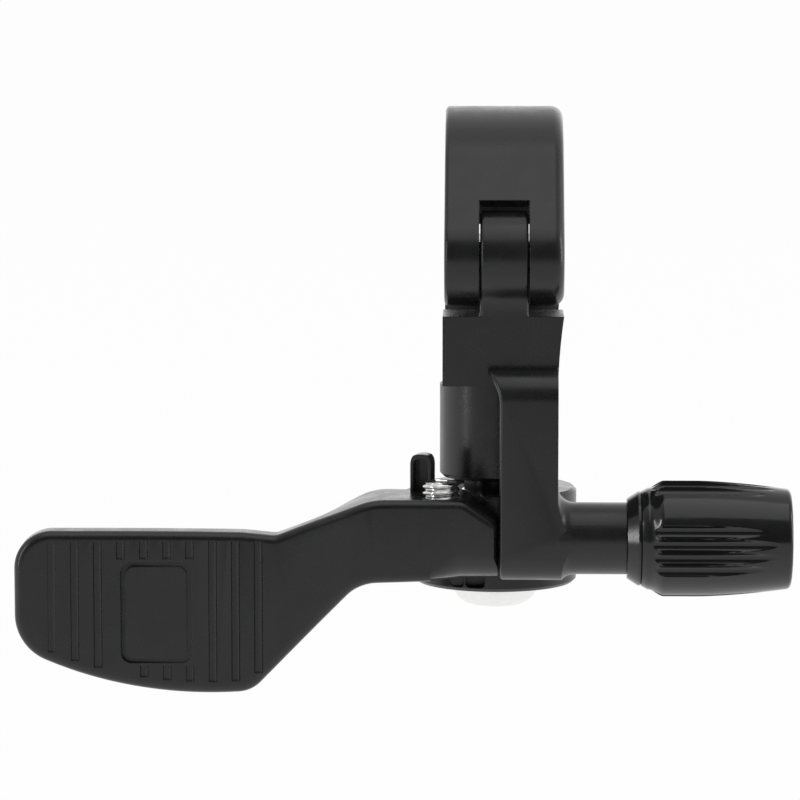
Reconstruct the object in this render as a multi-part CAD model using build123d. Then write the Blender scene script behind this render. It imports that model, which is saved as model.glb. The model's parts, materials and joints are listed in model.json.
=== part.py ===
from build123d import *
import math
import os

# Left-hand dropper post remote lever for a 22.2 mm handlebar.
# Frame: origin at the centre of the handlebar bore, +X along the bar towards the adjuster,
# +Y away from the rider, +Z up. Sizes in millimetres, angles in degrees.

# Handlebar clamp
bar_radius = 11.1
clamp_width = 12.8
strap_wall = 3.8
strap_left_round = 0.5
strap_right_round = 1.3
split_gap = 2.0
turning_gap = 0.03

# Front hinge of the clamp
hinge_inset = 1.1
hinge_drop = 0.7
knuckle_radius = 5.1
middle_knuckle_width = 5.15
knuckle_side_gap = 0.13
knuckle_slot_gap = 1.3
knuckle_floor_gap = 0.9
knuckle_corner_round = 0.45
knuckle_root_round = 2.6
hinge_pin_radius = 1.5
hinge_pin_inset = 0.3
hinge_pin_chamfer = 0.2

# Rear ears and closing bolt of the clamp
bolt_setback = 2.6
ear_reach = 5.0
ear_corner_round = 2.8
strap_ear_thickness = 5.0
bracket_ear_thickness = 7.0
clamp_bolt_radius = 2.0
clamp_bolt_grip = 5.4
clamp_bolt_head_radius = 3.5
clamp_bolt_head_height = 3.2
clamp_bolt_head_round = 0.4
clamp_bolt_tip_chamfer = 0.4
clamp_bolt_socket_width = 3.0
clamp_bolt_socket_depth = 1.9
clamp_bolt_hole_gap = 0.25
clamp_washer_radius = 3.6
clamp_washer_thickness = 0.6
tapped_hole_spare = 1.2

# Bracket below the bar
block_lip = 2.9
block_inset = 0.7
block_overhang = 0.18
flank_reach = 1.3
flank_sag_across = 0.3
flank_sag_down = 0.45
arm_left_x = -0.42
arm_width = 6.2
arm_cover = 3.8
arm_rear_cover = 6.5
arm_root_depth = 2.1
arm_foot_drop = 4.4
arm_shoulder_round = 3.4
arm_foot_round = 3.2
arm_flare_reach = 2.0188
arm_flare_drop = 1.6
arm_edge_round = 0.4

# Lever pivot
pivot_x = -0.88
pivot_y = -5.5
boss_radius = 6.1
boss_length = 11.1
boss_chamfer = 0.4
boss_step = 0.9
boss_bore_clearance = 0.5
hub_clearance = 1.2
hub_height = 10.4
hub_wall = 2.4
hub_side_gap = 0.3
hub_top_gap = 0.35
hub_rim_chamfer = 0.35
pivot_bolt_radius = 2.5
pivot_bolt_depth = 7.8
pivot_bolt_tip_chamfer = 0.4
pivot_head_radius = 4.75
pivot_head_height = 2.55
pivot_head_rim = 0.5
pivot_head_flat_radius = 2.95
pivot_socket_width = 3.0
pivot_socket_depth = 1.6
spacer_wall = 0.9
race_slip_gap = 0.02

# Pockets milled into the front of the hub, as (X, width, depth)
hub_pockets = ((-3.03, 2.1, 1.5), (-4.95, 1.5, 0.6))
hub_pocket_floor_gap = 0.45
hub_pocket_round = 0.5

# Hub bearings
bearing_radius = 6.5
bearing_width = 4.0
bearing_inset = 0.4
bearing_rib = 1.2
bearing_rib_step = 1.0
ball_bite = 0.21
ball_count = 8
ball_gap = 0.04
inner_race_wall = 1.2
outer_race_wall = 1.2
seal_thickness = 0.3
seal_seat_depth = 0.35
seal_lip_gap = 0.12
cage_wall = 0.6
cage_base = 0.35
cage_reach = 0.5

# Cable line and adjuster neck
cable_offset = 11.5
cable_drop = 4.0
cable_hole_radius = 0.9
guide_hole_radius = 1.1
cable_exit_x = -19.0
neck_radius = 3.86
neck_length = 7.37
neck_flare = 1.8
neck_root_depth = 1.0
stud_hole_spare = 1.8

# Lever bar beside the hub
lever_side_gap = 0.2
lever_inset = 0.5
lever_bar_depth = 8.6
lever_bar_rise = 0.45
lever_bar_height = 8.55
lever_corner_width = 3.64
lever_corner_height = 2.45
lever_front_round = 0.9
lever_foot_round = 3.2
foot_round_end_x = -4.7
foot_round_fade_x = -7.8
bar_shoulder_x = -14.1
bar_foot_x = -15.45
bar_foot_drop = 0.5
bar_rear_end_x = -10.6
hub_blend = 0.4
hub_join_share = 0.3

# Thumb paddle
paddle_thickness = 2.9
paddle_left_x = -52.36
paddle_drop = 3.45
paddle_height = 17.78
paddle_bow_x = -31.5
paddle_bow_radius = 43.5
paddle_heel_x = -27.0
paddle_neck_x = -24.4
paddle_neck_dip = 0.62
paddle_brow_x = -28.0
paddle_brow_dip = 0.3
scoop_start_x = -15.0
scoop_depth = 1.5
scoop_skew = 0.8
scoop_ease = 1.2
scoop_rise = 0.1

# Thumb grip on the paddle
rib_count = 10
rib_pitch = 2.45
rib_first_x = -48.3
rib_width = 0.95
rib_depth = 0.28
rib_top_inset = 1.2
rib_bottom_inset = 1.3
land_x = -37.2
land_width = 7.6
land_height = 11.0
land_corner_round = 1.2
land_groove = 0.55
land_depth = 0.35
land_margin = 0.3

# Cable clamp on the lever
set_screw_x = -6.69
set_screw_radius = 2.0
set_screw_rise = 1.65
set_screw_pitch = 0.7
set_screw_thread_depth = 0.38
set_screw_tip_length = 0.2
set_screw_socket_width = 2.0
set_screw_socket_depth = 1.8
set_screw_hole_spare = 0.6
cable_pinch_gap = 0.3
lug_x = -8.75
lug_y = -13.3
lug_width = 2.9
lug_depth = 3.0
lug_height = 4.35
lug_root_depth = 1.0
lug_wall = 0.62
lug_recess_depth = 2.2
lug_flat = 0.3
lug_turn = 13.0

# Adjuster
knob_length = 17.55
knob_slip_gap = 0.05
knob_bead_radius = 5.05
knob_bead_rise = 0.7
knob_bead_length = 1.4
knob_waist_radius = 5.45
knob_grip_radius = 6.2
knob_mouth_radius = 5.3
knob_mouth_round = 0.55
knob_waist_end = 2.2
knob_flare_end = 4.0
knob_grip_end = 7.4
knob_bore_radius = 4.15
knob_key_wall = 3.0
flute_groups = 4
flutes_per_group = 4
flute_pitch_angle = 14.0
flute_group_turn = 4.5
flute_radius = 0.75
flute_floor_radius = 5.45
flute_run_out = 0.25
flute_inset = 3.25
stud_radius = 2.5
stud_thread_gap = 0.03
stud_flat_width = 4.3
stud_key_gap = 0.05
stud_engagement = 8.15
stud_head_length = 7.8
stud_head_radius = 3.8
stud_head_chamfer = 0.3
stud_end_inset = 1.3
housing_bore_radius = 2.55
housing_seat_depth = 6.5
spring_wire_radius = 0.3
spring_turns = 4.5
spring_side_gap = 0.35
spring_end_gap = 0.1

# Sizes that follow from the ones above, from the bar downwards
half_width = clamp_width / 2
strap_radius = bar_radius + strap_wall
split_top_z = split_gap / 2
split_bottom_z = -split_gap / 2
hinge_y = hinge_inset - strap_radius
hinge_z = -hinge_drop
ledge_z = hinge_z - knuckle_radius - knuckle_floor_gap
bolt_y = strap_radius + bolt_setback
ear_end_y = bolt_y + ear_reach
strap_ear_top_z = split_top_z + strap_ear_thickness
bracket_ear_bottom_z = split_bottom_z - bracket_ear_thickness
block_front_y = hinge_y - block_lip
block_bottom_z = block_inset - strap_radius
flank_taper_z = block_bottom_z - flank_reach

# Hub, with its bearings one above the other
boss_bottom_z = block_bottom_z - boss_length
hub_top_z = boss_bottom_z - hub_clearance
hub_bottom_z = hub_top_z - hub_height
hub_radius = bearing_radius + hub_wall
upper_bearing_top_z = hub_top_z - bearing_inset
upper_bearing_bottom_z = upper_bearing_top_z - bearing_width
lower_bearing_top_z = upper_bearing_bottom_z - bearing_rib
lower_bearing_bottom_z = lower_bearing_top_z - bearing_width
race_bore_radius = pivot_bolt_radius + race_slip_gap
inner_race_radius = race_bore_radius + inner_race_wall
outer_race_inner_radius = bearing_radius - outer_race_wall
bearing_pitch_radius = (inner_race_radius + outer_race_inner_radius) / 2
ball_radius = (outer_race_inner_radius - inner_race_radius) / 2 + ball_bite

# Cable line, arm and neck
cable_y = pivot_y - cable_offset
cable_z = hub_top_z - cable_drop
arm_right_x = arm_left_x + arm_width
arm_front_y = cable_y - arm_cover
arm_rear_y = cable_y + arm_rear_cover
arm_top_z = block_bottom_z + arm_root_depth
arm_bottom_z = cable_z - arm_foot_drop
arm_flare_z = block_bottom_z - arm_flare_drop
neck_end_x = arm_right_x + neck_length

# Lever
lever_right_x = arm_left_x - lever_side_gap
lever_front_y = arm_front_y + lever_inset
lever_top_z = hub_top_z + lever_bar_rise
lever_bottom_z = lever_top_z - lever_bar_height
paddle_top_z = lever_top_z - paddle_drop
paddle_bottom_z = paddle_top_z - paddle_height
land_z = (paddle_top_z + paddle_bottom_z) / 2
rib_top_z = paddle_top_z - rib_top_inset
set_screw_top_z = lever_top_z + set_screw_rise
lug_top_z = lever_top_z + lug_height

# Adjuster, from its open end inwards
knob_end_x = neck_end_x + knob_length
flute_start_x = neck_end_x + flute_inset
stud_end_x = knob_end_x - stud_end_inset
stud_shoulder_x = stud_end_x - stud_head_length
stud_inner_x = neck_end_x - stud_engagement
tapped_start_x = stud_inner_x - 2 * stud_hole_spare
spring_radius = stud_radius + spring_side_gap + spring_wire_radius
spring_start_x = neck_end_x + knob_key_wall
far = 60.0


def polygon(*points):
    return make_face(Polyline(*points, close=True))


def side_prism(sketch, low_x, high_x):
    # A sketch drawn in (Y, Z), extruded along X.
    plane = Plane(origin=(low_x, 0, 0), x_dir=(0, 1, 0), z_dir=(1, 0, 0))
    return extrude(plane * sketch, amount=high_x - low_x)


def front_prism(sketch, low_y, high_y):
    # A sketch drawn in (X, Z), extruded along Y.
    plane = Plane(origin=(0, high_y, 0), x_dir=(1, 0, 0), z_dir=(0, -1, 0))
    return extrude(plane * sketch, amount=high_y - low_y)


def plan_prism(sketch, low_z, high_z):
    # A sketch drawn in (X, Y), extruded along Z.
    return extrude(Pos(0, 0, low_z) * sketch, amount=high_z - low_z)


def rod_along_x(radius, low_x, high_x, y, z):
    return Pos((low_x + high_x) / 2, y, z) * Rot(0, 90, 0) * Cylinder(radius, high_x - low_x)


def rod_along_z(radius, x, y, low_z, high_z):
    return Pos(x, y, (low_z + high_z) / 2) * Cylinder(radius, high_z - low_z)


def turned_about_pivot(*points):
    # Points are (radius, Z), turned about the lever's pivot axis.
    plane = Plane(origin=(pivot_x, pivot_y, 0), x_dir=(1, 0, 0), z_dir=(0, -1, 0))
    return revolve(plane * polygon(*points), Axis((pivot_x, pivot_y, 0), (0, 0, 1)))


def sleeve_about_pivot(inner, outer, low_z, high_z):
    return turned_about_pivot((inner, low_z), (outer, low_z), (outer, high_z), (inner, high_z))


def cable_line_plane():
    return Plane(origin=(0, cable_y, cable_z), x_dir=(1, 0, 0), z_dir=(0, -1, 0))


def turned_about_cable(sketch):
    # A sketch drawn in (X, radius), turned about the cable line.
    return revolve(cable_line_plane() * sketch, Axis((0, cable_y, cable_z), (1, 0, 0)))


def knuckle_disc():
    return Pos(hinge_y, hinge_z) * Circle(knuckle_radius)


def strap_outline():
    # Half ring over the bar, drawn tangent on to the knuckle, with the bolt ear behind.
    reach = math.hypot(hinge_y, hinge_z)
    lean = math.atan2(hinge_z, hinge_y) - math.acos((strap_radius - knuckle_radius) / reach)
    ring_touch = (strap_radius * math.cos(lean), strap_radius * math.sin(lean))
    knuckle_touch = (hinge_y + knuckle_radius * math.cos(lean), hinge_z + knuckle_radius * math.sin(lean))
    shoulder = polygon((0, 0), ring_touch, knuckle_touch, (hinge_y, hinge_z))
    upper_half = polygon((-far, split_top_z), (far, split_top_z), (far, far), (-far, far))
    ear = polygon(
        (0, split_top_z),
        (ear_end_y, split_top_z),
        (ear_end_y, strap_ear_top_z),
        (0, strap_ear_top_z),
    )
    return (Circle(strap_radius) & upper_half) + shoulder + knuckle_disc() + ear - Circle(bar_radius)


def make_clamp_strap():
    body = side_prism(strap_outline(), -half_width, half_width)
    ear_corners = body.edges().filter_by(Axis.Z).group_by(Axis.Y)[-1]
    body = fillet(ear_corners, ear_corner_round)
    for side, rounding in ((1, strap_right_round), (-1, strap_left_round)):
        side_edges = [edge for edge in body.edges() if edge.center().X * side > half_width - 0.01]
        body = fillet([edge for edge in side_edges if not is_bore_edge(edge)], rounding)
    slot_half = middle_knuckle_width / 2 + knuckle_side_gap
    body -= rod_along_x(knuckle_radius + knuckle_slot_gap, -slot_half, slot_half, hinge_y, hinge_z)
    body -= rod_along_x(hinge_pin_radius + turning_gap, -far, far, hinge_y, hinge_z)
    bolt_hole_radius = clamp_bolt_radius + clamp_bolt_hole_gap
    return body - rod_along_z(bolt_hole_radius, 0, bolt_y, split_bottom_z, strap_ear_top_z + 1)


def is_bore_edge(edge):
    # True for an edge that lies on the wall of the handlebar bore.
    start = edge.position_at(0)
    middle = edge.position_at(0.5)
    on_wall = [abs(math.hypot(point.Y, point.Z) - bar_radius) < 0.01 for point in (start, middle)]
    return all(on_wall)


def lower_clamp_outline():
    # Lower half ring, the block under the front knuckles and the rear ear.
    block = polygon(
        (block_front_y, ledge_z),
        (0, ledge_z),
        (0, block_bottom_z),
        (block_front_y, block_bottom_z),
    )
    lower_side = polygon(
        (-far, ledge_z),
        (0, ledge_z),
        (0, split_bottom_z),
        (far, split_bottom_z),
        (far, -far),
        (-far, -far),
    )
    ear = polygon(
        (0, split_bottom_z),
        (ear_end_y, split_bottom_z),
        (ear_end_y, bracket_ear_bottom_z),
        (0, bracket_ear_bottom_z),
    )
    return ((Circle(strap_radius) + block) & lower_side) + ear - Circle(bar_radius)


def make_lower_clamp():
    body = side_prism(lower_clamp_outline(), -half_width - block_overhang, half_width)
    ear_corners = body.edges().filter_by(Axis.Z).group_by(Axis.Y)[-1]
    body = fillet(ear_corners, ear_corner_round)
    return body - make_flank_relief()


def make_flank_relief():
    # The adjuster side narrows in a long hollow curve from the clamp's width to the arm's.
    waist_x = arm_right_x + (half_width - arm_right_x) * flank_sag_across
    waist_z = ledge_z + (flank_taper_z - ledge_z) * flank_sag_down
    curve = ThreePointArc((half_width, ledge_z), (waist_x, waist_z), (arm_right_x, flank_taper_z))
    edges = [
        curve,
        Line((arm_right_x, flank_taper_z), (far, flank_taper_z)),
        Line((far, flank_taper_z), (far, ledge_z)),
        Line((far, ledge_z), (half_width, ledge_z)),
    ]
    return front_prism(make_face(edges), -far, far)


def make_middle_knuckle():
    root = polygon(
        (block_front_y, hinge_z),
        (block_front_y, ledge_z - 1),
        (-bar_radius * 0.6, ledge_z - 1),
        (-bar_radius * 0.6, hinge_z),
    )
    outline = knuckle_disc() + root
    corner_z = hinge_z - math.sqrt(knuckle_radius**2 - (block_front_y - hinge_y) ** 2)
    corner = outline.vertices().sort_by_distance((block_front_y, corner_z, 0))[0]
    outline = fillet([corner], knuckle_root_round) - Circle(bar_radius)
    half = middle_knuckle_width / 2
    body = side_prism(outline, -half, half)
    crown = [
        edge
        for edge in body.edges()
        if abs(edge.center().X) > half - 0.01
        and abs(math.hypot(edge.center().Y - hinge_y, edge.center().Z - hinge_z)) < knuckle_radius + 0.01
        and edge.geom_type == GeomType.CIRCLE
        and abs(edge.radius - knuckle_radius) < 0.01
    ]
    return fillet(crown, knuckle_corner_round)


def arm_side_outline():
    # Side view of the arm: round shoulder above, round foot below.
    shoulder_y = arm_front_y + arm_shoulder_round
    shoulder_z = arm_top_z - arm_shoulder_round
    foot_y = arm_front_y + arm_foot_round
    foot_z = arm_bottom_z + arm_foot_round
    edges = [
        Line((arm_rear_y, arm_top_z), (shoulder_y, arm_top_z)),
        RadiusArc((shoulder_y, arm_top_z), (arm_front_y, shoulder_z), -arm_shoulder_round),
        Line((arm_front_y, shoulder_z), (arm_front_y, foot_z)),
        RadiusArc((arm_front_y, foot_z), (foot_y, arm_bottom_z), -arm_foot_round),
        Line((foot_y, arm_bottom_z), (arm_rear_y, arm_bottom_z)),
        Line((arm_rear_y, arm_bottom_z), (arm_rear_y, arm_top_z)),
    ]
    return make_face(edges)


def arm_front_outline():
    # Front view of the arm: its left edge flares into the block in one arc.
    rise = arm_top_z - arm_flare_z
    flare_x = arm_left_x - arm_flare_reach
    flare_radius = (arm_flare_reach**2 + rise**2) / (2 * arm_flare_reach)
    edges = [
        Line((arm_right_x, arm_bottom_z), (arm_left_x, arm_bottom_z)),
        Line((arm_left_x, arm_bottom_z), (arm_left_x, arm_flare_z)),
        RadiusArc((arm_left_x, arm_flare_z), (flare_x, arm_top_z), -flare_radius),
        Line((flare_x, arm_top_z), (arm_right_x, arm_top_z)),
        Line((arm_right_x, arm_top_z), (arm_right_x, arm_bottom_z)),
    ]
    return make_face(edges)


def make_arm():
    side = side_prism(arm_side_outline(), arm_left_x - arm_flare_reach - 1, arm_right_x)
    body = side & front_prism(arm_front_outline(), arm_front_y - 1, arm_rear_y + 1)
    left_rim = [
        edge
        for edge in body.edges()
        if edge.center().Y < block_front_y and edge.center().X < arm_left_x + 0.01
    ]
    return fillet(left_rim, arm_edge_round)


def make_neck():
    # Round neck for the adjuster, flared into the arm.
    flare_radius = neck_radius + neck_flare
    root_x = arm_left_x + neck_root_depth
    edges = [
        Line((root_x, 0), (neck_end_x, 0)),
        Line((neck_end_x, 0), (neck_end_x, neck_radius)),
        Line((neck_end_x, neck_radius), (arm_right_x + neck_flare, neck_radius)),
        RadiusArc((arm_right_x + neck_flare, neck_radius), (arm_right_x, flare_radius), -neck_flare),
        Line((arm_right_x, flare_radius), (root_x, flare_radius)),
        Line((root_x, flare_radius), (root_x, 0)),
    ]
    neck = turned_about_cable(make_face(edges))
    envelope = side_prism(arm_side_outline(), arm_left_x, neck_end_x)
    straight = rod_along_x(neck_radius, arm_right_x, neck_end_x, cable_y, cable_z)
    return (neck & envelope) + straight


def make_boss():
    # Round boss for the pivot bolt, cut flush with the block where it stands out beside it.
    boss = turned_about_pivot(
        (0, boss_bottom_z),
        (boss_radius - boss_chamfer, boss_bottom_z),
        (boss_radius, boss_bottom_z + boss_chamfer),
        (boss_radius, block_bottom_z),
        (0, block_bottom_z),
    )
    step_z = block_bottom_z - boss_step
    return boss - Pos(-half_width - block_overhang - far / 2, 0, step_z + far / 2) * Box(far, far, far)


def make_bracket():
    body = make_lower_clamp() + make_middle_knuckle() + make_arm() + make_neck()
    body += make_boss() - rod_along_x(bar_radius + boss_bore_clearance, -far, far, 0, 0)
    hub_room = hub_radius + hub_side_gap
    body -= rod_along_z(hub_room, pivot_x, pivot_y, -far, hub_top_z + hub_top_gap)
    bolt_hole_top_z = boss_bottom_z + pivot_bolt_depth + tapped_hole_spare
    body -= rod_along_z(pivot_bolt_radius, pivot_x, pivot_y, -far, bolt_hole_top_z)
    body -= rod_along_x(stud_radius + stud_thread_gap, tapped_start_x, far, cable_y, cable_z)
    body -= rod_along_x(guide_hole_radius, -far, far, cable_y, cable_z)
    body -= rod_along_x(hinge_pin_radius, -far, far, hinge_y, hinge_z)
    tapped_z = split_bottom_z - clamp_bolt_grip - tapped_hole_spare
    body -= rod_along_z(clamp_bolt_radius, 0, bolt_y, tapped_z, 0)
    return body


def make_hinge_pin():
    half_length = half_width - hinge_pin_inset
    pin = rod_along_x(hinge_pin_radius, -half_length, half_length, hinge_y, hinge_z)
    return chamfer(pin.edges().filter_by(GeomType.CIRCLE), hinge_pin_chamfer)


def hex_socket(width, depth, top_z, x, y):
    return Pos(x, y, top_z - depth) * extrude(RegularPolygon(width / math.sqrt(3), 6), amount=depth + 1)


def make_clamp_bolt():
    seat_z = strap_ear_top_z + clamp_washer_thickness
    head_top_z = seat_z + clamp_bolt_head_height
    tip_z = split_bottom_z - clamp_bolt_grip
    head = rod_along_z(clamp_bolt_head_radius, 0, bolt_y, seat_z, head_top_z)
    head = fillet(head.edges().group_by(Axis.Z)[-1], clamp_bolt_head_round)
    shank = rod_along_z(clamp_bolt_radius - turning_gap, 0, bolt_y, tip_z, seat_z)
    shank = chamfer(shank.edges().group_by(Axis.Z)[0], clamp_bolt_tip_chamfer)
    socket = hex_socket(clamp_bolt_socket_width, clamp_bolt_socket_depth, head_top_z, 0, bolt_y)
    return head + shank - socket


def make_clamp_washer():
    low_z = strap_ear_top_z
    high_z = strap_ear_top_z + clamp_washer_thickness
    disc = rod_along_z(clamp_washer_radius, 0, bolt_y, low_z, high_z)
    return disc - rod_along_z(clamp_bolt_radius + clamp_bolt_hole_gap, 0, bolt_y, low_z, high_z)


def make_pivot_bolt():
    tip_z = boss_bottom_z + pivot_bolt_depth
    tip_radius = pivot_bolt_radius - pivot_bolt_tip_chamfer
    shoulder_z = tip_z - pivot_bolt_tip_chamfer
    head_bottom_z = hub_bottom_z - pivot_head_height
    rim_z = hub_bottom_z - pivot_head_rim
    plane = Plane(origin=(pivot_x, pivot_y, 0), x_dir=(1, 0, 0), z_dir=(0, -1, 0))
    edges = [
        Line((0, tip_z), (tip_radius, tip_z)),
        Line((tip_radius, tip_z), (pivot_bolt_radius, shoulder_z)),
        Line((pivot_bolt_radius, shoulder_z), (pivot_bolt_radius, hub_bottom_z)),
        Line((pivot_bolt_radius, hub_bottom_z), (pivot_head_radius, hub_bottom_z)),
        Line((pivot_head_radius, hub_bottom_z), (pivot_head_radius, rim_z)),
        RadiusArc((pivot_head_radius, rim_z), (pivot_head_flat_radius, head_bottom_z), pivot_head_height),
        Line((pivot_head_flat_radius, head_bottom_z), (0, head_bottom_z)),
        Line((0, head_bottom_z), (0, tip_z)),
    ]
    bolt = revolve(plane * make_face(edges), Axis((pivot_x, pivot_y, 0), (0, 0, 1)))
    socket = extrude(RegularPolygon(pivot_socket_width / math.sqrt(3), 6), amount=pivot_socket_depth + 1)
    return bolt - Pos(pivot_x, pivot_y, head_bottom_z - 1) * socket


def bearing_groove(top_z):
    # Ring that the balls run in, cut from both races.
    plane = Plane(origin=(pivot_x, pivot_y, top_z - bearing_width / 2), x_dir=(1, 0, 0), z_dir=(0, -1, 0))
    return revolve(
        plane * Pos(bearing_pitch_radius, 0) * Circle(ball_radius + ball_gap),
        Axis((pivot_x, pivot_y, 0), (0, 0, 1)),
    )


def make_outer_race(top_z):
    race = sleeve_about_pivot(outer_race_inner_radius, bearing_radius, top_z - bearing_width, top_z)
    seat_radius = outer_race_inner_radius + seal_seat_depth
    for low_z in (top_z - bearing_width, top_z - seal_seat_depth):
        race -= rod_along_z(seat_radius, pivot_x, pivot_y, low_z, low_z + seal_seat_depth)
    return race - bearing_groove(top_z)


def make_inner_race(top_z):
    race = sleeve_about_pivot(race_bore_radius, inner_race_radius, top_z - bearing_width, top_z)
    return race - bearing_groove(top_z)


def ball_centres(top_z):
    for index in range(ball_count):
        angle = 2 * math.pi * index / ball_count
        x = pivot_x + bearing_pitch_radius * math.cos(angle)
        y = pivot_y + bearing_pitch_radius * math.sin(angle)
        yield (x, y, top_z - bearing_width / 2)


def make_balls(top_z):
    return Compound(children=[Pos(*centre) * Sphere(ball_radius) for centre in ball_centres(top_z)])


def make_cage(top_z):
    middle_z = top_z - bearing_width / 2
    pocket = ball_radius + ball_gap
    cage = sleeve_about_pivot(
        bearing_pitch_radius - cage_wall / 2,
        bearing_pitch_radius + cage_wall / 2,
        middle_z - pocket - cage_base,
        middle_z + cage_reach,
    )
    for centre in ball_centres(top_z):
        cage -= Pos(*centre) * Sphere(pocket)
    return cage


def make_seals(top_z):
    inner = inner_race_radius + seal_lip_gap
    outer = outer_race_inner_radius + seal_seat_depth
    bottoms = (top_z - seal_thickness, top_z - bearing_width)
    seals = [sleeve_about_pivot(inner, outer, low_z, low_z + seal_thickness) for low_z in bottoms]
    return Compound(children=seals)


def paddle_front_y(x):
    # Front face of the lever seen from above: flat by the hub, then a shallow thumb scoop.
    if x > scoop_start_x:
        return lever_front_y
    along = min((scoop_start_x - x) / (scoop_start_x - paddle_left_x), 1.0)
    return lever_front_y + scoop_depth * math.sin(math.pi * along**scoop_skew) ** scoop_ease


def paddle_rear_y(x):
    return paddle_front_y(x) + paddle_thickness


def lever_plan_outline():
    # View from above: deep bar by the hub, thin paddle outboard.
    hub_join_x = pivot_x - hub_radius + hub_blend
    hub_join_y = pivot_y - hub_radius * hub_join_share
    bar_rear_y = lever_front_y + lever_bar_depth
    scoop_length = scoop_start_x - paddle_left_x
    stations = [scoop_start_x - scoop_length * share for share in (0, 0.11, 0.24, 0.43, 0.62, 0.81, 1)]
    front = Spline(*[(x, paddle_front_y(x)) for x in stations], tangents=((-1, 0), (-1, -scoop_rise)))
    rear_points = [(x, paddle_rear_y(x)) for x in reversed(stations[2:])]
    swell_x = (stations[1] + scoop_start_x) / 2
    swell_y = (paddle_rear_y(stations[1]) + bar_rear_y) / 2
    rear_points.append((stations[1], paddle_rear_y(stations[1]) + hub_blend))
    rear_points.append((swell_x, swell_y))
    rear_points.append((bar_rear_end_x, bar_rear_y))
    edges = [
        Line((lever_right_x, lever_front_y), (scoop_start_x, lever_front_y)),
        front,
        Line((paddle_left_x, paddle_front_y(paddle_left_x)), rear_points[0]),
        Spline(*rear_points),
        Line(rear_points[-1], (hub_join_x, hub_join_y)),
        Line((hub_join_x, hub_join_y), (lever_right_x, hub_join_y)),
        Line((lever_right_x, hub_join_y), (lever_right_x, lever_front_y)),
    ]
    return make_face(edges)


def paddle_bow_z(x):
    # Lower edge of the paddle, one long arc.
    return paddle_bottom_z + paddle_bow_radius - math.sqrt(paddle_bow_radius**2 - (x - paddle_bow_x) ** 2)


def lever_corners():
    # Corners of the lever seen from the rider's side, each as (X, Z, rounding).
    return {
        "bar_end_foot": (lever_right_x, lever_bottom_z, 0),
        "bar_end_top": (lever_right_x, lever_top_z - lever_corner_height, 1.2),
        "bar_top": (lever_right_x - lever_corner_width, lever_top_z, 2.2),
        "bar_shoulder": (bar_shoulder_x, lever_top_z, 8.0),
        "paddle_neck": (paddle_neck_x, paddle_top_z - paddle_neck_dip, 2.0),
        "paddle_brow": (paddle_brow_x, paddle_top_z - paddle_brow_dip, 10.0),
        "paddle_top": (paddle_left_x, paddle_top_z, 4.0),
        "paddle_foot": (paddle_left_x, paddle_bow_z(paddle_left_x), 5.4),
        "paddle_heel": (paddle_heel_x, paddle_bow_z(paddle_heel_x), 3.6),
        "bar_foot": (bar_foot_x, lever_bottom_z - bar_foot_drop, 4.6),
    }


def lever_front_outline():
    # Short bar by the hub, dropping to the broad paddle.
    corners = lever_corners()
    names = list(corners)
    edges = []
    for name, following in zip(names, names[1:] + names[:1]):
        start = corners[name][:2]
        end = corners[following][:2]
        if name == "paddle_foot":
            edges.append(ThreePointArc(start, (paddle_bow_x, paddle_bottom_z), end))
        else:
            edges.append(Line(start, end))
    outline = make_face(edges)
    for x, z, rounding in corners.values():
        if rounding:
            corner = outline.vertices().sort_by_distance((x, z, 0))[0]
            outline = fillet(corner, rounding)
    return outline


def foot_cutter(x, rounding):
    # What a rounding takes off the bar's lower front edge, as a face across the bar.
    low_y = lever_front_y - 1
    low_z = lever_bottom_z - 1
    under_y = lever_front_y + rounding
    front_z = lever_bottom_z + rounding
    edges = [
        Line((low_y, low_z), (under_y, low_z)),
        Line((under_y, low_z), (under_y, lever_bottom_z)),
        RadiusArc((under_y, lever_bottom_z), (lever_front_y, front_z), rounding),
        Line((lever_front_y, front_z), (low_y, front_z)),
        Line((low_y, front_z), (low_y, low_z)),
    ]
    return Plane(origin=(x, 0, 0), x_dir=(0, 1, 0), z_dir=(1, 0, 0)) * make_face(edges)


def make_lever_blank():
    plan = plan_prism(lever_plan_outline(), paddle_bottom_z - 1, lever_top_z + 1)
    blank = plan & front_prism(lever_front_outline(), lever_front_y - 2, pivot_y)
    front_rim = [
        edge
        for edge in blank.edges()
        if abs(edge.center().Y - paddle_front_y(edge.center().X)) < 0.1
        and abs(edge.center().X - scoop_start_x) > 0.01
        and edge.center().X < lever_right_x - 0.01
    ]
    blank = fillet(front_rim, lever_front_round)
    full_round = foot_cutter(foot_round_end_x, lever_foot_round)
    faded_round = foot_cutter(foot_round_fade_x, lever_front_round)
    blank -= extrude(full_round, amount=lever_right_x + 1 - foot_round_end_x)
    blank -= loft([faded_round, full_round], ruled=True)
    hub = rod_along_z(hub_radius, pivot_x, pivot_y, hub_bottom_z, hub_top_z)
    hub = chamfer(hub.edges().filter_by(GeomType.CIRCLE), hub_rim_chamfer)
    for pocket in make_hub_pockets():
        hub -= pocket
    return blank + hub


def make_hub_pockets():
    low_z = hub_bottom_z + hub_pocket_floor_gap
    height = hub_top_z - low_z
    for x, width, depth in hub_pockets:
        surface_y = pivot_y - math.sqrt(hub_radius**2 - (x - pivot_x) ** 2)
        outline = Pos(x, low_z + height / 2) * RectangleRounded(width, height, hub_pocket_round)
        yield front_prism(outline, surface_y - 2, surface_y + depth)


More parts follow.
